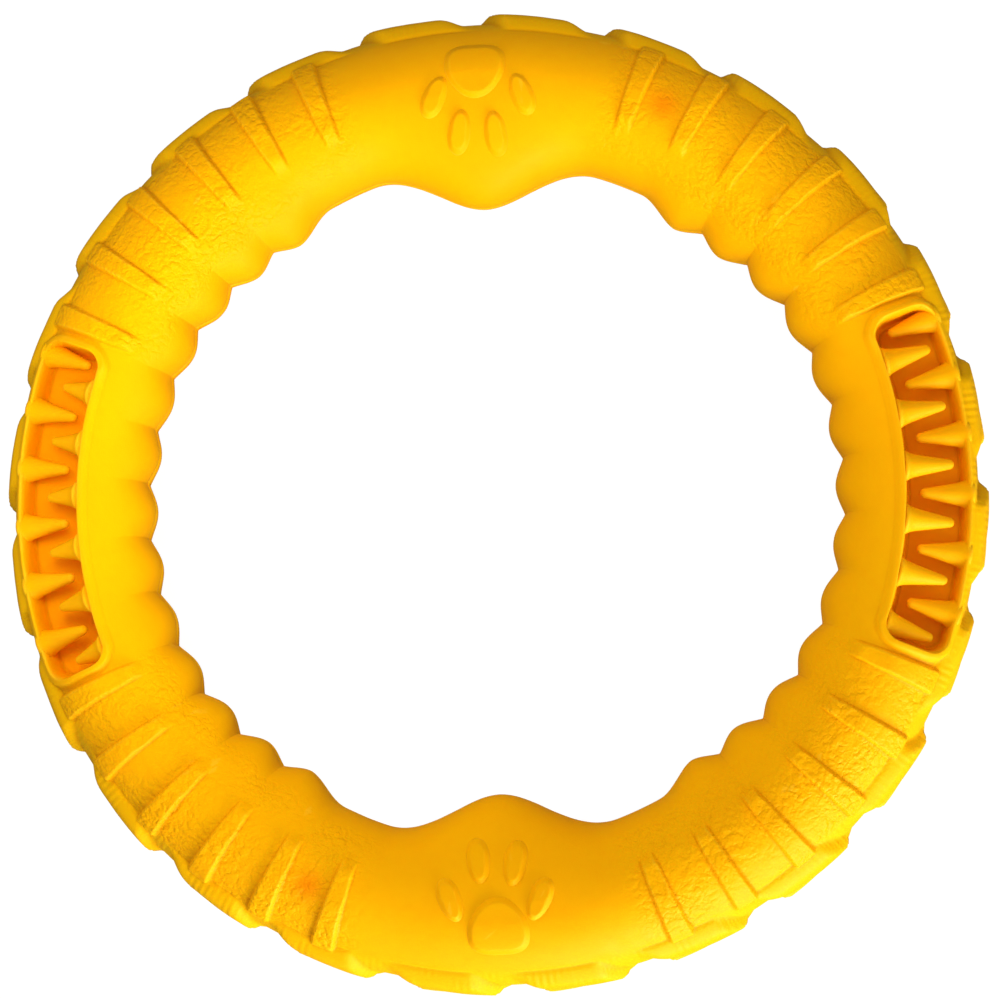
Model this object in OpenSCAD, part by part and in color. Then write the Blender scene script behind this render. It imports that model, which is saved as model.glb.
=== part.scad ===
// Chew-and-tug ring in moulded rubber: two bonded half shells around a hollow tube, a grip with
// scallops and ribs, two treat pockets with rubber teeth on each face, paw prints and a lugged rim.
// The ring lies flat: its axis is Z, the pockets are on the X axis and the paw prints on the Y axis.

/* [Ring] */
// Outside diameter over the tread lugs
ring_d = 230; // [222:1:238]
// Thickness of the round tube, without anything raised on it
tube_d = 33; // [32:0.5:33.5]
// Rubber thickness around the hollow
wall_t = 6.5; // [5:0.5:8]

/* [Grip] */
// Angle from one scallop crest to the next
scallop_pitch = 9.1; // [8.6:0.1:9.4]
// Depth of the notches between the scallops
notch_depth = 2.4; // [1.5:0.1:3]
// How far the grip swells towards the centre under each paw print
bulge_h = 10.8; // [8:0.2:12]

/* [Ribs] */
// Height of the ribs above the tube
rib_h = 1.2; // [0.8:0.1:1.6]
// Width of a rib, as an angle
rib_angle = 2.8; // [2:0.1:3.4]
// Angle from one rib to the next
rib_pitch = 8.64; // [8:0.02:8.8]
// Angle from a pocket's middle to its nearest rib
rib_start = 24.8; // [24.6:0.1:25.6]

/* [Tread] */
// Number of lugs around the rim
lug_count = 24; // [20:2:28]
// Height of the lugs above the tube
lug_h = 2.5; // [1.5:0.1:3]
// Width of a lug's top along the rim
lug_w = 16.5; // [12:0.5:17]
// Lean of the lugs from the ring's axis
lug_lean = 35; // [0:1:40]
// How far up from the mid-plane the lugs sink into the tube
lug_reach = 11; // [9:0.5:11]

/* [Pockets] */
// Half of a pocket's length, as an angle
pocket_half = 22.1; // [22:0.1:22.2]
// Width of a pocket
pocket_w = 14; // [12:0.5:14.5]
// Height of a pocket's floor above the mid-plane
pocket_floor = 3.5; // [2:0.5:5]
// Width of the raised lip around a pocket
lip_w = 1.8; // [1.7:0.1:1.9]
// Height of the lip above the tube
lip_h = 1.2; // [0.6:0.1:1.6]

/* [Teeth] */
// Number of teeth in each of a pocket's two rows
tooth_count = 6; // [4:1:6]
// Length of an outer tooth from its wall to its tip
tooth_l = 11.2; // [8:0.2:11.4]
// Radius of a tooth where it leaves the wall
tooth_root_r = 3.2; // [2.4:0.1:3.2]
// Radius of a tooth's round tip
tooth_tip_r = 1.3; // [0.8:0.1:1.6]

/* [Paw prints] */
// Height of the pads above the tube
pad_h = 1.2; // [0.6:0.1:1.4]
// Distance from the ring's axis to the middle of a main pad
pad_ring_r = 98.5; // [97.5:0.5:100.5]

/* [Hidden] */
$fn = 96;

rubber = "gold";
tooth_rubber = "orange";
tube_r = tube_d / 2;
ring_r = ring_d / 2 - lug_h - tube_r;   // axis of the ring to the middle of the tube
land_drop = 0.2;                        // the ribs' crowns are flat over this much of their height
half_h = tube_r + rib_h - land_drop;    // mid-plane to the plane that the ring lies on
far = ring_d;                           // longer than anything that it cuts

// Grip: the notches fade out up the tube because their circle is set off outwards
notches_per_side = 10;
notch_offset = 5;
notch_flank = 59;                       // half of the angle between a notch's flanks
notch_reach = 6;
knob_rise = [1.9, 3.1];                 // how far the two end crests on each side stand proud
knob_offset = 8;
knob_half_w = 6.6;
knob_z = 13;

// Bulge under a paw: half of an egg with its middle near the tube's own
bulge_offset = 2;
bulge_half_w = 20;
bulge_z = tube_r - 0.5;                 // just under the tube's crown, so that the two surfaces cross
bulge_r = tube_r + bulge_h - bulge_offset;

// Ribs
ribs_per_quarter = 6;
rib_in_r = ring_r - 5.5;
rib_out_r = ring_r + 14.4;
root_z = 5;                             // raised features are rooted this far above the mid-plane

// Pockets, centred a little outside the tube's middle
pocket_in_r = ring_r - 0.1;
pocket_out_r = pocket_in_r + pocket_w;
pocket_mid_r = ring_r + pocket_w / 2;
pocket_corner_r = 4;
lip_angle = lip_w / pocket_mid_r * 180 / PI;
hollow_gap = 5;                         // angle of solid rubber between a pocket and the hollow

// Teeth: rows set off by half a pitch, in a plane that tilts outwards with the tube
tooth_pitch = 7.26;
tooth_stagger = 1.82;
right_inner_l = tooth_l + 0.4;
left_inner_l = tooth_l - 3.2;
inner_root_z = 12.6;
inner_tip_z = 9.4;
outer_root_z = 6.8;
outer_tip_z = 10.4;

// Lugs: one gentle and one steep end; their top is a rounder tube that sinks into the ring's own
lug_turn = 1.9;                         // angle from the regular place, the same way on both halves
gentle_flank = 1.3;                     // run of an end slope for each unit of its height
steep_flank = 0.7;
lug_shift = 1;                          // the lug's top is off its middle by this, to the steep end
lug_root_r = ring_r + 12;
lug_edge = 0.8;                         // the lugs stop this far below where they would sink in
tread_reach = tube_r + lug_h;
tread_offset = (tread_reach ^ 2 - tube_r ^ 2) / (2 * (tread_reach - sqrt(tube_r ^ 2 - lug_reach ^ 2)));

// ---- shared shapes, with the mid-plane at z = 0 and the upper half only ----

// Upper half of a round tube bent into the ring; offset moves the tube's middle outwards
module half_tube(r, sweep = 360, offset = 0) {
    rotate_extrude(angle = sweep, $fn = 240)
        intersection() {
            translate([ring_r + offset, 0]) circle(r);
            translate([ring_r + offset - r - 1, 0]) square([2 * r + 2, r + 1]);
        }
}

// Everything between the mid-plane and the resting plane
module below_land() {
    translate([-far, -far, 0]) cube([2 * far, 2 * far, half_h]);
}

// Upper and inner part of the egg that swells the grip under a paw, grown by a margin
module half_bulge(grow) {
    intersection() {
        translate([0, ring_r - bulge_offset, 0])
            scale([bulge_half_w + grow, bulge_r + grow, bulge_z + grow])
                sphere(1);
        translate([-far, 0, 0]) cube([2 * far, ring_r - bulge_offset, half_h]);
    }
}

// Ring-shaped slot between two radii, from a height upwards, with its four corners rounded
module arc_slot(in_r, out_r, half_angle, corner_r, low_z, high_z) {
    in_corner = asin(corner_r / (in_r + corner_r));
    out_corner = asin(corner_r / (out_r - corner_r));
    arc_block(in_r + corner_r, out_r - corner_r, half_angle, low_z, high_z);
    arc_block(in_r, pocket_mid_r, half_angle - in_corner, low_z, high_z);
    arc_block(pocket_mid_r, out_r, half_angle - out_corner, low_z, high_z);
    for (side = [-1, 1]) {
        rotate(side * (half_angle - in_corner)) translate([in_r + corner_r, 0, low_z])
            cylinder(r = corner_r, h = high_z - low_z);
        rotate(side * (half_angle - out_corner)) translate([out_r - corner_r, 0, low_z])
            cylinder(r = corner_r, h = high_z - low_z);
    }
}

// Sector of a flat ring
module arc_block(in_r, out_r, half_angle, low_z, high_z) {
    rotate(-half_angle)
        rotate_extrude(angle = 2 * half_angle, $fn = 240)
            translate([in_r, low_z]) square([out_r - in_r, high_z - low_z]);
}

// Hollow of one pocket, on the +X side
module pocket_space() {
    arc_slot(pocket_in_r, pocket_out_r, pocket_half, pocket_corner_r, pocket_floor, tube_d);
}

// Raised lip around one pocket, still filled in
module pocket_lip() {
    intersection() {
        arc_slot(pocket_in_r - lip_w, pocket_out_r + lip_w, pocket_half + lip_angle,
            pocket_corner_r + lip_w, root_z, tube_d);
        half_tube(tube_r + lip_h);
    }
}

// V-notch that fades out up the tube, on the +X side
module notch() {
    apex_r = tube_r - notch_depth + notch_offset;
    spread = notch_reach * tan(notch_flank);
    translate([ring_r + notch_offset, 0, 0]) rotate([90, 0, 0])
        rotate_extrude()
            polygon([[apex_r, 0], [apex_r + notch_reach, spread], [apex_r + notch_reach, -spread]]);
}

// Proud crest at either end of the scallops, on the +X side
module knob(rise) {
    intersection() {
        translate([ring_r - knob_offset, 0, 0])
            scale([tube_r - knob_offset + rise, knob_half_w, knob_z]) sphere(1);
        translate([0, -far / 2, 0]) cube([ring_r - knob_offset, far, knob_z + 1]);
    }
}

// Rib across the face, centred on the +X side
module rib() {
    rotate(-rib_angle / 2)
        rotate_extrude(angle = rib_angle)
            intersection() {
                translate([ring_r, 0]) circle(tube_r + rib_h);
                translate([rib_in_r, root_z]) square([rib_out_r - rib_in_r, half_h - root_z]);
            }
}

// Leaning block with sloped ends that stands across the rim, centred on the +X side
module lug_block() {
    top_r = ring_d / 2;
    depth = top_r - lug_root_r;
    gentle = lug_shift - lug_w / 2;
    steep = lug_shift + lug_w / 2;
    rotate([lug_lean, 0, 0])
        translate([0, 0, -far / 8]) linear_extrude(far / 4)
            polygon([
                [lug_root_r, gentle - depth * gentle_flank], [top_r + 1, gentle + gentle_flank],
                [top_r + 1, steep - steep_flank], [lug_root_r, steep + depth * steep_flank]
            ]);
}

// Upper half of the tread; turn shifts all lugs round the ring
module half_tread(turn) {
    step = 360 / lug_count;
    intersection() {
        half_tube(tread_reach - tread_offset, offset = tread_offset);
        translate([-far, -far, 0]) cube([2 * far, 2 * far, lug_reach - lug_edge]);
        for (i = [0 : lug_count - 1]) rotate((i + 0.5) * step + turn) lug_block();
    }
}

// One cone-shaped tooth, from the wall at root_at to the far side, with a round tip
module tooth(root_at, length, root_z, tip_z) {
    run = length - tooth_tip_r;
    tilt = atan((tip_z - root_z) / run);
    lead = 1;                            // starts inside the wall, then is trimmed to it
    slope = (tooth_root_r - tooth_tip_r) / run;
    translate([root_at, 0, root_z])
        rotate([0, 90 - tilt, 0])
            union() {
                translate([0, 0, -lead])
                    cylinder(r1 = tooth_root_r + lead * slope, r2 = tooth_tip_r, h = run + lead, $fn = 32);
                translate([0, 0, run]) sphere(tooth_tip_r, $fn = 32);
            }
}

// Both rows of one pocket on the +X side; outer_lead is +1 or -1, the end where the outer row leads
module tooth_rows(outer_lead, inner_l) {
    first = -(tooth_count - 1) / 2 * tooth_pitch;
    intersection() {
        pocket_space();
        union() {
            for (i = [0 : tooth_count - 1]) {
                rotate(first + i * tooth_pitch - outer_lead * tooth_stagger)
                    tooth(pocket_in_r, inner_l, inner_root_z, inner_tip_z);
                rotate(first + i * tooth_pitch + outer_lead * tooth_stagger)
                    mirror([1, 0, 0]) translate([-2 * pocket_out_r, 0, 0])
                        tooth(pocket_out_r, tooth_l, outer_root_z, outer_tip_z);
            }
        }
    }
}

// Toe pad: a straight run with round ends; x and y from the main pad, +y towards the ring's centre
module toe(x, y, turn) {
    toe_r = 2.6;
    toe_half = 2.5;
    translate([x, y]) rotate(turn) {
        translate([-toe_r, -toe_half]) square([2 * toe_r, 2 * toe_half]);
        for (end = [-1, 1]) translate([0, end * toe_half]) circle(toe_r, $fn = 32);
    }
}

// Main pad: a dome towards the toes and two round heels, joined by straight sides
module main_pad() {
    dome_r = 6;
    dome_y = 0.4;
    heel_r = 3.4;
    heel = [4, -3];
    circle_at(0, dome_y, dome_r);
    translate([-heel.x, heel.y - heel_r]) square([2 * heel.x, heel_r]);
    pad_side(heel, heel_r, dome_y, dome_r);
    mirror([1, 0]) pad_side(heel, heel_r, dome_y, dome_r);
}

// One heel of the main pad and the straight side from it to the dome
module pad_side(heel, heel_r, dome_y, dome_r) {
    way = heel - [0, dome_y];
    turn = atan2(way.y, way.x) + acos((dome_r - heel_r) / norm(way));
    outwards = [cos(turn), sin(turn)];
    circle_at(heel.x, heel.y, heel_r);
    polygon([[0, heel.y], heel, heel + heel_r * outwards, [0, dome_y] + dome_r * outwards, [0, dome_y]]);
}

module circle_at(x, y, r) { translate([x, y]) circle(r, $fn = 48); }

// Raised paw print at the +Y side of the upper half
module paw() {
    difference() {
        intersection() {
            translate([0, pad_ring_r, root_z]) mirror([0, 1, 0]) linear_extrude(half_h - root_z) {
                main_pad();
                toe(10.8, 6.4, -20);
                toe(4.3, 15, -6);
                toe(-4.1, 14.3, 10);
                toe(-9.6, 6.2, 24);
            }
            union() {
                half_tube(tube_r + pad_h);
                half_bulge(pad_h);
            }
        }
        half_tube(tube_r);
        half_bulge(0);
    }
}

// One half shell, with the mid-plane at z = 0; lug_side is +1 for the front and -1 for the rear
module half_shell(lug_side) {
    difference() {
        union() {
            half_tube(tube_r);
            half_tread(lug_side * lug_turn);
            for (turn = [0, 180]) rotate(turn) {
                half_bulge(0);
                intersection() {
                    pocket_lip();
                    below_land();
                }
                for (side = [-1, 1]) {
                    for (i = [0 : ribs_per_quarter - 1]) rotate(side * (rib_start + i * rib_pitch)) rib();
                    for (i = [0, 1]) rotate(side * (5 + i) * scallop_pitch) knob(knob_rise[i]);
                }
            }
        }
        for (turn = [0, 180]) rotate(turn) {
            pocket_space();
            rotate(pocket_half + hollow_gap) half_tube(tube_r - wall_t, 180 - 2 * (pocket_half + hollow_gap));
            for (i = [0 : notches_per_side - 1])
                rotate((i - (notches_per_side - 1) / 2) * scallop_pitch) notch();
        }
    }
}

// Lift from the mid-plane to the resting plane, and for the rear half turn it over about the X axis
module front() { translate([0, 0, half_h]) children(); }
module rear() { translate([0, 0, half_h]) rotate([180, 0, 0]) children(); }

// ---- sub-parts ----

module front_shell() { color(rubber) front() half_shell(1); }
module rear_shell() { color(rubber) rear() half_shell(-1); }

module front_right_teeth() { color(tooth_rubber) front() tooth_rows(1, right_inner_l); }
module front_left_teeth() { color(tooth_rubber) front() rotate(180) tooth_rows(-1, left_inner_l); }
module rear_right_teeth() { color(tooth_rubber) rear() tooth_rows(1, right_inner_l); }
module rear_left_teeth() { color(tooth_rubber) rear() rotate(180) tooth_rows(-1, left_inner_l); }

module front_upper_paw() { color(rubber) front() paw(); }
module front_lower_paw() { color(rubber) front() rotate(180) paw(); }
module rear_upper_paw() { color(rubber) rear() rotate(180) paw(); }
module rear_lower_paw() { color(rubber) rear() paw(); }

front_shell();
rear_shell();
front_left_teeth();
front_right_teeth();
rear_left_teeth();
rear_right_teeth();
front_upper_paw();
front_lower_paw();
rear_upper_paw();
rear_lower_paw();
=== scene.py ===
import math

import bpy
import numpy as np
from mathutils import Matrix, Vector, noise


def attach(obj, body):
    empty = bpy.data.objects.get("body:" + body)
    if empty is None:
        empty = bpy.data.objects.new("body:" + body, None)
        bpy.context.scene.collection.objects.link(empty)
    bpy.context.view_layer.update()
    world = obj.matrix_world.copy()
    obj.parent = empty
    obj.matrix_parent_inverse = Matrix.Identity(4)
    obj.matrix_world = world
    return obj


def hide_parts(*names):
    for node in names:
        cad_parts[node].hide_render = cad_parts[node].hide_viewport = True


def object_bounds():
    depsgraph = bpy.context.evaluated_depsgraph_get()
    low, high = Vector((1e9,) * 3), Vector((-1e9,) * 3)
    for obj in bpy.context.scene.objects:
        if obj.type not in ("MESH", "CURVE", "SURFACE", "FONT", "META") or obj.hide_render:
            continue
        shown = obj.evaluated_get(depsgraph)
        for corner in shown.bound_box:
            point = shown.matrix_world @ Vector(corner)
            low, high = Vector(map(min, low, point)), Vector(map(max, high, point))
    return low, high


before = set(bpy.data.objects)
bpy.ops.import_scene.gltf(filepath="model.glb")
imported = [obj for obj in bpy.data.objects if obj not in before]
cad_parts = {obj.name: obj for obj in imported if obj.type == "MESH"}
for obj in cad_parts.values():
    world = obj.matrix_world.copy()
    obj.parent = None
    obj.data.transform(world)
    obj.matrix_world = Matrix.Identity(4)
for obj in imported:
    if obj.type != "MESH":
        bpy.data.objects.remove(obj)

CAD_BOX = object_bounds()
MM = 0.001
MID = (CAD_BOX[0] + CAD_BOX[1]) / 2          # the ring's centre, on the bond plane

# Ring, in millimetres and degrees, with the bond plane at z = 0
RING_R = 96.0            # axis of the ring to the middle of the tube
TUBE_R = 16.5
CROWN_Z = 17.5           # the plane that the raised features lie on
BOND_GAP = 0.04          # half of the hairline between the two half shells
BOND_GROOVE = 0.35

FLOOR_GAP = 0.0002       # metres between the ring and the floor, so that they don't coincide

# Mesh of one half shell
QUARTER_COLUMNS = 308
SHELL_ROWS = 79

# Scallops of the grip: crest and notch radii by angle from the X axis
SCALLOP_PITCH = 9.1
SCALLOPS_END = 54.6
CREST = ([0, 18, 27.3, 36.4, 45.5, 54.6], [79.7, 79.7, 79.4, 78.7, 77.3, 76.3])
NOTCH = ([0, 32, 41, 50], [81.9, 81.8, 80.8, 79.2])
VALLEY_R = 79.7
END_CREST_FALL = 8.0     # degrees from the last crest to the plain tube
SCALLOP_FADE = 66.0      # degrees up the tube at which the scallops have gone

BULGE_H = 11.0
BULGE_HALF = 19.5

# Ribs
RIB_FIRST, RIB_PITCH, RIB_COUNT = 24.8, 8.64, 6
RIB_IN_R, RIB_OUT_R = 90.5, 110.0
RIB_HALF_IN, RIB_HALF_OUT = 1.3, 1.7      # degrees
RIB_FLANK = 0.5
RIB_FOCUS = 1.2          # degrees from a rib's middle to where the mesh is finest
RIB_H = 1.35

# Tread lugs
LUG_COUNT = 24
LUG_STEP = 360 / LUG_COUNT
LUG_TURN = 1.9           # degrees from a lug's place to the regular one, at the bond plane
LUG_LEAN = 0.35          # degrees round the rim for each millimetre down the tube
LUG_ENDS = (-6.0, 5.9)   # degrees from a lug's middle to the feet of its two end slopes
LUG_SLOPES = (3.0, 1.3)  # degrees that the end slopes take
LUG_H = 2.35
LUG_TOP_Z = 10.8
LUG_FADE = 5.0
LUG_LINE_Z, LUG_LINE_W, LUG_LINE_H = 9.8, 0.45, 0.3     # fine groove under the front of each lug
RIDGES_AROUND = 421.0    # fine ridges once round the rim

# Pockets
POCKET_HALF = 21.7
POCKET_IN_R, POCKET_OUT_R = 95.3, 109.3
POCKET_MID_R = (POCKET_IN_R + POCKET_OUT_R) / 2
POCKET_CORNER = 4.0
POCKET_FLOOR = 3.5
POCKET_DRAFT = 1.4
LIP_W, LIP_H = 1.85, 1.2

# Teeth
TOOTH_COUNT, TOOTH_PITCH, TOOTH_STAGGER = 6, 7.26, 1.82
OUTER_TOOTH_L = 11.2
INNER_TOOTH_L = {0: 11.6, 180: 8.8}      # by the pocket's side
TOOTH_ROOT_R, TOOTH_TIP_R = 3.3, 1.25
TOOTH_FLARE, TOOTH_FLARE_RUN = 0.6, 0.7
INNER_TOOTH_Z = (12.6, 9.4)
OUTER_TOOTH_Z = (6.8, 10.4)

# Paw prints: pads by their place from the main pad, with +y towards the ring's centre
PAW_R = 98.6
PAD_H = 1.1
PAD_BEVEL = 1.7
TOES = [(10.8, 6.4, -20), (4.3, 15.0, -6), (-4.1, 14.3, 10), (-9.6, 6.2, 24)]
TOE_HALF = (2.9, 5.4)

# Reddish spot on the face, and its twin half a turn on
SPOT_ANGLE, SPOT_R, SPOT_SIZE = 63.8, 98.2, 3.6

# Rubber colours, linear
RUBBER_COLOUR = (0.96, 0.45, 0.0, 1.0)
# painted shade: deeper orange for the pocket recesses, standing in for the dim warm light inside them
POCKET_PAINTED_SHADE_COLOUR = (1.0, 0.38, 0.0, 1.0)
RIM_COLOUR = (0.86, 0.48, 0.0, 1.0)
SPOT_COLOUR = (0.95, 0.27, 0.0, 1.0)
# painted shade: the darker colour that concave creases are turned towards
PAINTED_CREASE_SHADE_COLOUR = (0.70, 0.24, 0.0, 1.0)
# painted highlight: the paler colour that convex crests are turned towards
PAINTED_CREST_HIGHLIGHT_COLOUR = (1.0, 0.55, 0.02, 1.0)


# ---- small numeric helpers ----

def smooth(x):
    """0 below 0, 1 above 1, and an S-curve between."""
    x = np.clip(x, 0, 1)
    return x * x * (3 - 2 * x)


def wrap(angle, period):
    """The angle from the nearest multiple of period."""
    return (angle + period / 2) % period - period / 2


def spread(low, high, count, focus):
    """count + 1 values from low to high, packed closer round each (centre, half width, weight)."""
    fine = np.linspace(low, high, 6001)
    density = np.ones_like(fine)
    for centre, half, weight in focus:
        density += weight * np.exp(-((fine - centre) / half) ** 2)
    total = np.concatenate([[0], np.cumsum((density[1:] + density[:-1]) / 2)])
    return np.interp(np.linspace(0, total[-1], count + 1), total, fine)


# ---- camera, light and floor ----

def add_camera():
    """Camera high over the front face, a little to the right of and below the ring's axis."""
    tilt, side, roll = math.radians(7.3), math.radians(314), math.radians(1.6)
    distance = 0.72
    across = 0.2338                      # width that the view takes in at the ring's mid-plane
    data = bpy.data.cameras.new("camera")
    data.sensor_width = 36
    data.lens = 36 * distance / across
    data.clip_start, data.clip_end = 0.01, 20
    camera = bpy.data.objects.new("camera", data)
    bpy.context.scene.collection.objects.link(camera)
    back = Vector((math.sin(tilt) * math.cos(side), math.sin(tilt) * math.sin(side), math.cos(tilt)))
    right = Vector((math.sin(roll), math.cos(roll), 0)).cross(back).normalized()
    up = back.cross(right)
    aim = MID + Vector((1.65 * MM, -0.15 * MM, 0))
    turn = Matrix((right, up, back)).transposed().to_4x4()
    camera.matrix_world = Matrix.Translation(aim + back * distance) @ turn
    bpy.context.scene.camera = camera


def add_softbox(name, azimuth, elevation, distance, size, power):
    """Area light that faces the ring; size is its width and height."""
    data = bpy.data.lights.new(name, "AREA")
    data.shape = "RECTANGLE"
    data.size, data.size_y = size
    data.energy = power
    light = bpy.data.objects.new(name, data)
    bpy.context.scene.collection.objects.link(light)
    a, e = math.radians(azimuth), math.radians(elevation)
    back = Vector((math.cos(e) * math.cos(a), math.cos(e) * math.sin(a), math.sin(e)))
    light.location = MID + back * distance
    light.rotation_mode = "QUATERNION"
    light.rotation_quaternion = back.to_track_quat("Z", "Y")


def add_fill(name, place, radius, power):
    """Small ball of light, not seen itself, at a place in millimetres from the ring's centre."""
    data = bpy.data.lights.new(name, "POINT")
    data.shadow_soft_size = radius * MM
    data.energy = power
    light = bpy.data.objects.new(name, data)
    bpy.context.scene.collection.objects.link(light)
    light.location = MID + Vector(place) * MM
    light.visible_camera = light.visible_glossy = False


def add_studio():
    """Low wide key from below the view, two weak fills, a surround that brightens upwards, a pale floor."""
    add_softbox("key_light", 299, 8, 1.3, (1.1, 0.8), 28)
    add_fill("left_fill", (-86, 20, 112), 25, 0.28)
    add_fill("upper_fill", (60, 70, 110), 25, 0.10)
    world = bpy.data.worlds.new("studio")
    world.use_nodes = True
    tree = world.node_tree
    split = tree.nodes.new("ShaderNodeSeparateXYZ")
    tree.links.new(tree.nodes.new("ShaderNodeTexCoord").outputs["Generated"], split.inputs[0])
    height = tree.nodes.new("ShaderNodeMapRange")
    for key, value in (("From Min", -0.4), ("From Max", 1.0), ("To Min", 0.1), ("To Max", 0.8)):
        height.inputs[key].default_value = value
    tree.links.new(split.outputs["Z"], height.inputs["Value"])
    tree.nodes["Background"].inputs["Color"].default_value = (1.0, 0.95, 0.78, 1)
    tree.links.new(height.outputs["Result"], tree.nodes["Background"].inputs["Strength"])
    bpy.context.scene.world = world
    bpy.context.scene.view_settings.view_transform = "Standard"
    mesh = bpy.data.meshes.new("floor")
    half = 3.0                           # metres
    corners = [(-half, -half, 0), (half, -half, 0), (half, half, 0), (-half, half, 0)]
    mesh.from_pydata(corners, [], [(0, 1, 2, 3)])
    floor = bpy.data.objects.new("floor", mesh)
    floor.location.z = CAD_BOX[0].z - FLOOR_GAP
    bpy.context.scene.collection.objects.link(floor)
    material = bpy.data.materials.new("floor_paper")
    material.use_nodes = True
    shader = material.node_tree.nodes["Principled BSDF"]
    shader.inputs["Base Color"].default_value = (0.1, 0.1, 0.1, 1)
    shader.inputs["Roughness"].default_value = 0.9
    shader.inputs["Emission Color"].default_value = (1, 1, 1, 1)
    shader.inputs["Emission Strength"].default_value = 0.96
    mesh.materials.append(material)
    floor.visible_diffuse = floor.visible_glossy = floor.visible_shadow = False


# ---- shape of a half shell ----

def grip_radius(theta):
    """Radius of the grip's outline at the bond plane, without the bulges."""
    a = np.abs(wrap(theta, 180))
    wave = np.abs(np.cos(np.pi * a / SCALLOP_PITCH)) ** 1.1
    crest, notch = np.interp(a, *CREST), np.interp(a, *NOTCH)
    fall = smooth((a - SCALLOPS_END) / END_CREST_FALL)
    past = CREST[1][-1] + (VALLEY_R - CREST[1][-1]) * fall
    return np.where(a <= SCALLOPS_END, notch + (crest - notch) * wave, past)


def bulge(theta):
    """How far the grip swells towards the centre under a paw print."""
    b = np.abs(wrap(theta - 90, 180))
    return BULGE_H * np.cos(np.pi / 2 * np.clip(b / BULGE_HALF, 0, 1)) ** 2


def tube_point(theta, phi):
    """Radius and height of the plain skin; phi is 0 at the rim and 180 at the grip."""
    section = np.radians(phi)
    up_from_grip = 180 - phi
    fade = np.clip(1 - (up_from_grip / SCALLOP_FADE) ** 2, 0, 1)
    reach = TUBE_R + (RING_R - TUBE_R - grip_radius(theta)) * fade + bulge(theta)
    reach = np.where(phi > 90, reach, TUBE_R)
    return RING_R + reach * np.cos(section), TUBE_R * np.sin(section)


def rib_height(theta, r):
    """Ribs across the face, a little wider towards the rim."""
    a = np.abs(wrap(theta, 180))
    nearest = np.clip(np.round((a - RIB_FIRST) / RIB_PITCH), 0, RIB_COUNT - 1)
    off = np.abs(a - RIB_FIRST - nearest * RIB_PITCH)
    half = np.interp(r, [RIB_IN_R, RIB_OUT_R], [RIB_HALF_IN, RIB_HALF_OUT])
    ends = smooth((r - RIB_IN_R) / 4 + 0.5) * smooth((RIB_OUT_R - r) / 1.5 + 0.5)
    return RIB_H * smooth((half - off) / RIB_FLANK) * ends


def lug_height(theta, r, z, turn):
    """Leaning lugs with one gentle and one steep end, which sink into the face past a fine groove."""
    off = wrap(theta - LUG_STEP / 2 - turn + LUG_LEAN * z, LUG_STEP)
    gentle = smooth((off - LUG_ENDS[0]) / LUG_SLOPES[0])
    steep = smooth((LUG_ENDS[1] - off) / LUG_SLOPES[1])
    crown = 0.82 + 0.18 * smooth((off + 4) / 8)
    line = LUG_LINE_H * np.exp(-((z - LUG_LINE_Z) / LUG_LINE_W) ** 2)
    height = gentle * steep * (LUG_H * crown * smooth((LUG_TOP_Z - z) / LUG_FADE) - line)
    return np.where(r > RING_R, height, 0)


def pocket_distance(theta, r):
    """Signed distance from a pocket's outline in plan, negative inside."""
    along = np.abs(np.radians(wrap(theta, 180))) * POCKET_MID_R
    across = np.abs(r - POCKET_MID_R)
    half_along = math.radians(POCKET_HALF) * POCKET_MID_R
    half_across = (POCKET_OUT_R - POCKET_IN_R) / 2
    qx, qy = along - half_along + POCKET_CORNER, across - half_across + POCKET_CORNER
    outside = np.hypot(np.maximum(qx, 0), np.maximum(qy, 0))
    return outside + np.minimum(np.maximum(qx, qy), 0) - POCKET_CORNER


def lip_height(distance, theta, r):
    """Bead round a pocket, lower along the side towards the grip."""
    a = np.abs(wrap(theta, 180))
    along_grip = smooth((POCKET_MID_R - r) / 4) * smooth((POCKET_HALF - 1 - a) / 4)
    bead = smooth((distance + 0.5) / 0.8) * smooth((LIP_W + 0.9 - distance) / 1.8)
    return LIP_H * bead * (1 - 0.5 * along_grip)


def leather_mask(theta, r, phi):
    """Where the moulded skin is wrinkled: among the ribs, and not round the paws or the pockets."""
    a = np.abs(wrap(theta, 180))
    sector = smooth((a - 22) / 3) * smooth((74 - a) / 6)
    return sector * smooth((phi - 30) / 10) * smooth((150 - phi) / 20)


def wrinkle(points, scale, seed):
    """Ridged noise from about -1 to 1 at points in millimetres."""
    shift = Vector((seed * 17.3, seed * 5.1, seed * 9.7))
    found = [noise.fractal(Vector(p) / scale + shift, 0.9, 2.1, 3) for p in points]
    return np.array(found)


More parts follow.
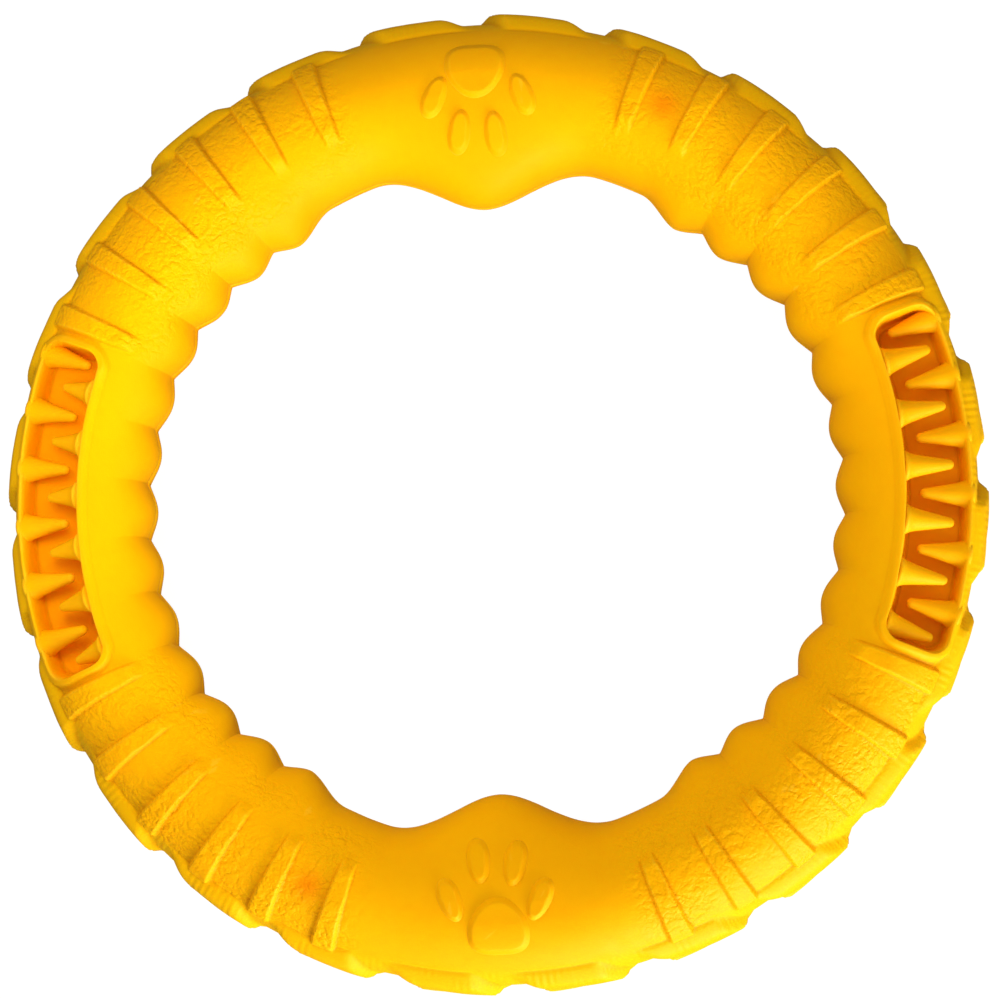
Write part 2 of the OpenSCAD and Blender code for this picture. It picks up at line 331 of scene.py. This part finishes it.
def half_shell_grid(lug_turn):
    """Points of the skin as columns x rows x 3, and the masks that the material reads."""
    rib_flanks = [RIB_FIRST + k * RIB_PITCH + s * RIB_FOCUS for k in range(RIB_COUNT) for s in (-1, 1)]
    notches = [(k + 0.5) * SCALLOP_PITCH for k in range(6)]
    focus = [(c, 0.5, 2.2) for c in rib_flanks] + [(c, 0.4, 1.2) for c in notches]
    focus.append((POCKET_HALF - 0.5, 0.9, 5.0))
    quarter = spread(0, 90, QUARTER_COLUMNS, focus)
    half = np.concatenate([quarter[:-1], 180 - quarter[::-1][:-1]])
    columns = np.concatenate([half, half + 180])
    rows = spread(0, 180, SHELL_ROWS, [(37, 5, 2.6), (90, 6, 3.2), (105, 5, 1.2)])
    theta, phi = np.meshgrid(columns, rows, indexing="ij")
    r, z = tube_point(theta, phi)
    distance = pocket_distance(theta, r)
    lip = lip_height(distance, theta, r)
    clear = smooth((distance - 0.2) / 1.2)
    lugs = lug_height(theta, r, z, lug_turn)
    ribs = rib_height(theta, r)
    raised = np.where(ribs > 0, np.maximum(ribs, lugs), lugs) * clear
    raised = np.where(lip > 0, np.maximum(raised, lip), raised)
    leather = leather_mask(theta, r, phi) * clear
    plain = np.stack([r * np.cos(np.radians(theta)), r * np.sin(np.radians(theta)), z], -1)
    flat = plain.reshape(-1, 3)
    rough = wrinkle(flat, 1.6, 1).reshape(theta.shape)
    swell = wrinkle(flat, 14.0, 2).reshape(theta.shape)
    raised = raised + leather * 0.09 * rough + 0.10 * swell
    groove = BOND_GROOVE * np.exp(-(z / 0.5) ** 2)
    raised = raised - groove
    section = np.radians(phi)
    r = r + raised * np.cos(section)
    z = np.minimum(z + raised * np.sin(section), CROWN_Z)
    sunk = np.where(distance < 0, 1 - (1 - np.clip(-distance / POCKET_DRAFT, 0, 1)) ** 2.2, 0)
    z = z * (1 - sunk) + POCKET_FLOOR * sunk
    z = np.maximum(z, BOND_GAP)
    points = np.stack([r * np.cos(np.radians(theta)), r * np.sin(np.radians(theta)), z], -1)
    spot = np.zeros_like(r)
    for turn in (0, 180):
        a = math.radians(SPOT_ANGLE + turn)
        gap = np.hypot(points[..., 0] - SPOT_R * math.cos(a), points[..., 1] - SPOT_R * math.sin(a))
        spot += np.exp(-(gap / SPOT_SIZE) ** 2)
    masks = {
        "pocket": sunk,
        "leather": leather,
        "rim": smooth((42 - phi) / 12),
        "spot": spot,
    }
    return points, masks


def grid_faces(columns, rows):
    """Quads of a closed loop of columns; the row after the last is the first, across the bond face."""
    c, k = np.meshgrid(np.arange(columns), np.arange(rows), indexing="ij")
    c2, k2 = (c + 1) % columns, (k + 1) % rows
    quads = np.stack([c * rows + k, c2 * rows + k, c2 * rows + k2, c * rows + k2], -1)
    return quads.reshape(-1, 4)


def make_object(name, points, faces, masks=None, turned=False):
    """Mesh object from points in millimetres; turned puts it on the rear half."""
    if turned:
        points = points * np.array([1, -1, -1])
    mesh = bpy.data.meshes.new(name)
    mesh.from_pydata((points * MM + np.array(MID)).tolist(), [], [list(f) for f in faces])
    for key, values in (masks or {}).items():
        layer = mesh.attributes.new(key, "FLOAT", "POINT")
        layer.data.foreach_set("value", np.asarray(values, np.float32).ravel())
    mesh.shade_smooth()
    mesh.update()
    obj = bpy.data.objects.new(name, mesh)
    bpy.context.scene.collection.objects.link(obj)
    return obj


# ---- teeth ----

def tooth_rings(length):
    """(distance along, radius) of a tooth's rings from inside the wall to the tip."""
    run = length - TOOTH_TIP_R
    rings = []
    for step in (-0.08, -0.02, 0.03, 0.08, 0.14, 0.22, 0.32, 0.46, 0.62, 0.8, 1.0):
        along, share = step * run, max(step, 0)
        flare = TOOTH_FLARE * math.exp(-max(along, 0) / TOOTH_FLARE_RUN)
        rings.append((along, TOOTH_ROOT_R + (TOOTH_TIP_R - TOOTH_ROOT_R) * share ** 0.92 + flare))
    for angle in (20, 40, 60, 78):
        a = math.radians(angle)
        rings.append((run + TOOTH_TIP_R * math.sin(a), TOOTH_TIP_R * math.cos(a)))
    return rings


def add_tooth(points, faces, root, turn, length, z_ends, facing, lean):
    """Adds one tooth; facing is +1 for a tooth that points outwards and -1 inwards."""
    sides = 24
    start = len(points)
    tilt = math.atan2(z_ends[1] - z_ends[0], length)
    ahead = np.array([facing * math.cos(tilt), 0, math.sin(tilt)])
    over = np.array([-facing * math.sin(tilt), 0, math.cos(tilt)])
    side = np.array([0.0, 1.0, 0.0])
    a = math.radians(turn)
    spin = np.array([[math.cos(a), -math.sin(a), 0], [math.sin(a), math.cos(a), 0], [0, 0, 1]])
    rings = tooth_rings(length)
    for along, radius in rings:
        for i in range(sides):
            b = 2 * math.pi * i / sides
            across = radius * math.cos(b) * 0.94 + lean * along * 0.03
            p = np.array([root, 0, z_ends[0]]) + ahead * along + side * across
            points.append(spin @ (p + over * radius * math.sin(b)))
    for k in range(len(rings) - 1):
        for i in range(sides):
            j = (i + 1) % sides
            quad = [start + k * sides + i, start + k * sides + j, start + (k + 1) * sides + j,
                    start + (k + 1) * sides + i]
            faces.append(quad if facing > 0 else quad[::-1])
    last = start + (len(rings) - 1) * sides
    tip = [last + i for i in range(sides)]
    root_cap = [start + i for i in range(sides)]
    faces.append(tip if facing > 0 else tip[::-1])
    faces.append(root_cap[::-1] if facing > 0 else root_cap)


def make_teeth(name, side, turned):
    """Both rows of the pocket on the +X side (side 0) or the -X side (side 180)."""
    lead = 1 if side == 0 else -1
    points, faces = [], []
    for i in range(TOOTH_COUNT):
        at = side + (i - (TOOTH_COUNT - 1) / 2) * TOOTH_PITCH
        lean = 0.35 * math.sin(1.7 * i + side)
        add_tooth(points, faces, POCKET_IN_R, at - lead * TOOTH_STAGGER, INNER_TOOTH_L[side],
                  INNER_TOOTH_Z, 1, lean)
        add_tooth(points, faces, POCKET_OUT_R, at + lead * TOOTH_STAGGER, OUTER_TOOTH_L,
                  OUTER_TOOTH_Z, -1, -lean)
    return make_object(name, np.array(points), faces, turned=turned)


# ---- paw prints ----

def skin_height(x, y):
    """Height of the plain skin over a point in plan, with the bulge under a paw."""
    r, theta = np.hypot(x, y), np.degrees(np.arctan2(y, x))
    reach = np.where(r < RING_R, TUBE_R + bulge(theta), TUBE_R)
    share = np.clip(np.abs(RING_R - r) / reach, 0, 1)
    return TUBE_R * np.sqrt(1 - share ** 2)


def toe_outline(x, y, turn):
    """Egg-shaped outline of a toe pad, about its middle."""
    a = np.linspace(0, 2 * np.pi, 48, endpoint=False)
    wide = TOE_HALF[0] * (1 + 0.10 * np.sin(a))
    px, py = wide * np.cos(a), TOE_HALF[1] * np.sin(a)
    t = math.radians(turn)
    return (x, y), px * math.cos(t) - py * math.sin(t), px * math.sin(t) + py * math.cos(t)


def main_outline():
    """Thimble-shaped outline of the main pad: a dome towards the toes over two round heels."""
    a = np.linspace(0, 2 * np.pi, 80, endpoint=False)
    power = np.where(np.sin(a) > 0, 0.98, 0.66)
    px = 7.4 * np.sign(np.cos(a)) * np.abs(np.cos(a)) ** power
    py = np.where(np.sin(a) > 0, 7.7, 5.9) * np.sign(np.sin(a)) * np.abs(np.sin(a)) ** power
    taper = 1 - 0.14 * smooth((py + 1) / 8)
    return (0, 0), px * taper, py - 0.6


def add_pad(points, faces, outline, turn):
    """Adds one pad: rings from the middle to the rim on the skin, closed underneath."""
    (cx, cy), px, py = outline
    start, sides = len(points), len(px)
    size = np.hypot(px, py)
    shares = [0.25, 0.5, 0.7, 0.85, 1.0]
    bevel = [(0.9, 0.97), (0.75, 0.85), (0.58, 0.62), (0.4, 0.36), (0.22, 0.13), (0.0, -0.05)]
    levels = [(s, 0, 1.0) for s in shares] + [(1.0, inset - 1, h) for inset, h in bevel]
    a = math.radians(turn)
    for share, out, height in levels:
        inner = 1 - PAD_BEVEL / size
        scale = share * inner if share < 1 or out == 0 else inner + (1 - inner) * (-out)
        x, y = cx + px * scale, PAW_R - cy - py * scale
        base = skin_height(x, y)
        z = np.minimum(base + PAD_H * height, CROWN_Z) if height > 0 else base - 0.3
        for xi, yi, zi in zip(x, y, z):
            points.append((xi * math.cos(a) - yi * math.sin(a), xi * math.sin(a) + yi * math.cos(a), zi))
    top = len(points)
    z = min(float(skin_height(np.array(cx), np.array(PAW_R - cy))) + PAD_H, CROWN_Z)
    x, y = cx, PAW_R - cy
    points.append((x * math.cos(a) - y * math.sin(a), x * math.sin(a) + y * math.cos(a), z))
    points.append((points[top][0], points[top][1], z - 2.6))
    rings = len(levels)
    for i in range(sides):
        j = (i + 1) % sides
        faces.append([top, start + j, start + i])
        for k in range(rings - 1):
            faces.append([start + k * sides + i, start + k * sides + j, start + (k + 1) * sides + j,
                          start + (k + 1) * sides + i])
        outer = start + (rings - 1) * sides
        faces.append([outer + i, outer + j, top + 1])


def make_paw(name, side, turned):
    """A paw print at the +Y side (side 0) or the -Y side (side 180) of a half."""
    points, faces = [], []
    for outline in [main_outline()] + [toe_outline(*toe) for toe in TOES]:
        add_pad(points, faces, outline, side)
    return make_object(name, np.array(points), faces, turned=turned)


# ---- material ----

def rubber(name, leathery):
    """Satin moulded rubber: cloudy colour, painted shade in creases, painted highlight on crests and fine
    grain.

    On the shells it also has wrinkles, rim ridges, painted shade of deeper orange in the pockets and the two
    spots.
    """
    base = RUBBER_COLOUR
    material = bpy.data.materials.new(name)
    material.use_nodes = True
    tree = material.node_tree
    shader = tree.nodes["Principled BSDF"]

    def node(kind, **settings):
        made = tree.nodes.new(kind)
        for key, value in settings.items():
            setattr(made, key, value)
        return made

    def link(a, b):
        tree.links.new(a, b)

    place = node("ShaderNodeTexCoord").outputs["Object"]

    def noise_texture(scale, detail, rough=0.5):
        made = node("ShaderNodeTexNoise")
        made.inputs["Scale"].default_value = scale
        made.inputs["Detail"].default_value = detail
        made.inputs["Roughness"].default_value = rough
        link(place, made.inputs["Vector"])
        return made.outputs["Fac"]

    def math_node(kind, a, b):
        made = node("ShaderNodeMath", operation=kind)
        for socket, value in zip(made.inputs, (a, b)):
            if isinstance(value, (int, float)):
                socket.default_value = value
            else:
                link(value, socket)
        return made.outputs[0]

    def blend_colour(share, a, b):
        made = node("ShaderNodeMix", data_type="RGBA")
        for key, value in (("Factor", share), ("A", a), ("B", b)):
            socket = [s for s in made.inputs if s.name == key and s.enabled][0]
            if isinstance(value, (tuple, float)):
                socket.default_value = value
            else:
                link(value, socket)
        return [s for s in made.outputs if s.enabled][0]

    def ramp(value, low, high, to_low=0.0, to_high=1.0):
        made = node("ShaderNodeMapRange")
        made.clamp = True
        for key, number in (("From Min", low), ("From Max", high), ("To Min", to_low), ("To Max", to_high)):
            made.inputs[key].default_value = number
        link(value, made.inputs["Value"])
        return made.outputs["Result"]

    def mask(key):
        return node("ShaderNodeAttribute", attribute_name=key).outputs["Fac"]

    cloudy = ramp(noise_texture(38, 3), 0.35, 0.68)
    colour = blend_colour(cloudy, base, tuple(b * f for b, f in zip(base[:3], (0.99, 0.94, 1.0))) + (1.0,))
    mottled = ramp(noise_texture(420, 4), 0.45, 0.75, 0.0, 0.35)
    colour = blend_colour(mottled, colour, tuple(b * f for b, f in zip(base[:3], (0.97, 0.88, 1.0))) + (1.0,))
    if leathery:
        colour = blend_colour(math_node("MULTIPLY", mask("rim"), 0.6), colour, RIM_COLOUR)
        # painted shade: the pockets are turned deeper orange by their depth
        colour = blend_colour(math_node("MULTIPLY", mask("pocket"), 0.9), colour, POCKET_PAINTED_SHADE_COLOUR)
        colour = blend_colour(math_node("MULTIPLY", mask("spot"), 0.95), colour, SPOT_COLOUR)
    # Painted light by pointiness: concave creases are darkened as painted shade, and convex crests are
    # lightened as painted highlight, with noise on the crests
    pointiness_for_painted_light = node("ShaderNodeNewGeometry").outputs["Pointiness"]
    painted_crease_shade = ramp(pointiness_for_painted_light, 0.494, 0.45, 0.0, 0.65)
    colour = blend_colour(painted_crease_shade, colour, PAINTED_CREASE_SHADE_COLOUR)
    painted_crest_highlight = math_node("MULTIPLY", ramp(pointiness_for_painted_light, 0.51, 0.56), ramp(noise_texture(160, 3), 0.4, 0.6, 0.1, 0.4))
    colour = blend_colour(painted_crest_highlight, colour, PAINTED_CREST_HIGHLIGHT_COLOUR)
    link(colour, shader.inputs["Base Color"])
    link(ramp(noise_texture(260, 4), 0.3, 0.7, 0.44, 0.58), shader.inputs["Roughness"])
    shader.inputs["IOR"].default_value = 1.5
    shader.inputs["Specular IOR Level"].default_value = 0.18
    shader.inputs["Specular Tint"].default_value = (1.0, 0.80, 0.22, 1.0)
    if leathery:
        link(ramp(mask("pocket"), 0.0, 1.0, 0.12, 0.45), shader.inputs["Subsurface Weight"])
    else:
        shader.inputs["Subsurface Weight"].default_value = 0.25
    shader.inputs["Subsurface Radius"].default_value = (1.0, 0.4, 0.05)
    shader.inputs["Subsurface Scale"].default_value = 2.5 * MM

    def bump(height, strength, distance, before=None):
        made = node("ShaderNodeBump")
        made.inputs["Distance"].default_value = distance
        if isinstance(strength, float):
            made.inputs["Strength"].default_value = strength
        else:
            link(strength, made.inputs["Strength"])
        link(height, made.inputs["Height"])
        if before is not None:
            link(before, made.inputs["Normal"])
        return made.outputs["Normal"]

    normal = bump(noise_texture(1500, 3), 0.35, 0.08 * MM)
    if leathery:
        fine = noise_texture(380, 2, 0.5)
        folds = math_node("ABSOLUTE", math_node("SUBTRACT", fine, 0.5), 0.0)
        patchy = math_node("MULTIPLY", mask("leather"), ramp(noise_texture(60, 2), 0.34, 0.58, 0.2, 1.0))
        normal = bump(ramp(folds, 0.0, 0.16), math_node("MULTIPLY", patchy, 0.85), 0.28 * MM, normal)
        split = node("ShaderNodeSeparateXYZ")
        link(place, split.inputs[0])
        turn = math_node("ARCTAN2", split.outputs["Y"], split.outputs["X"])
        ridges = math_node("SINE", math_node("MULTIPLY", turn, RIDGES_AROUND), 0.0)
        ridged = math_node("MULTIPLY", mask("rim"), ramp(noise_texture(150, 3), 0.45, 0.62, 0.0, 0.4))
        normal = bump(ridges, ridged, 0.1 * MM, normal)
    link(normal, shader.inputs["Normal"])
    return material


# ---- the pieces ----

def place_piece(obj, node, material):
    """Gives a piece its material, hangs it under the root body and hides the CAD part that it stands for."""
    obj.data.materials.append(material)
    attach(obj, "root")
    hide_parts(node)


def build_ring():
    shell_rubber = rubber("ring_rubber", True)
    tooth_rubber = rubber("tooth_rubber", False)
    for half, turned in (("front", False), ("rear", True)):
        points, masks = half_shell_grid(-LUG_TURN if turned else LUG_TURN)
        faces = grid_faces(*points.shape[:2])
        shell = make_object(half + "_shell_skin", points.reshape(-1, 3), faces, masks, turned)
        place_piece(shell, half + "_shell", shell_rubber)
        for side_name, side in (("right", 0), ("left", 180)):
            teeth = make_teeth(f"{half}_{side_name}_tooth_rows", side, turned)
            place_piece(teeth, f"{half}_{side_name}_teeth", tooth_rubber)
        for side_name, side in (("upper", 0), ("lower", 180)):
            paw = make_paw(f"{half}_{side_name}_pads", side + (180 if turned else 0), turned)
            place_piece(paw, f"{half}_{side_name}_paw", shell_rubber)


add_camera()
add_studio()
build_ring()
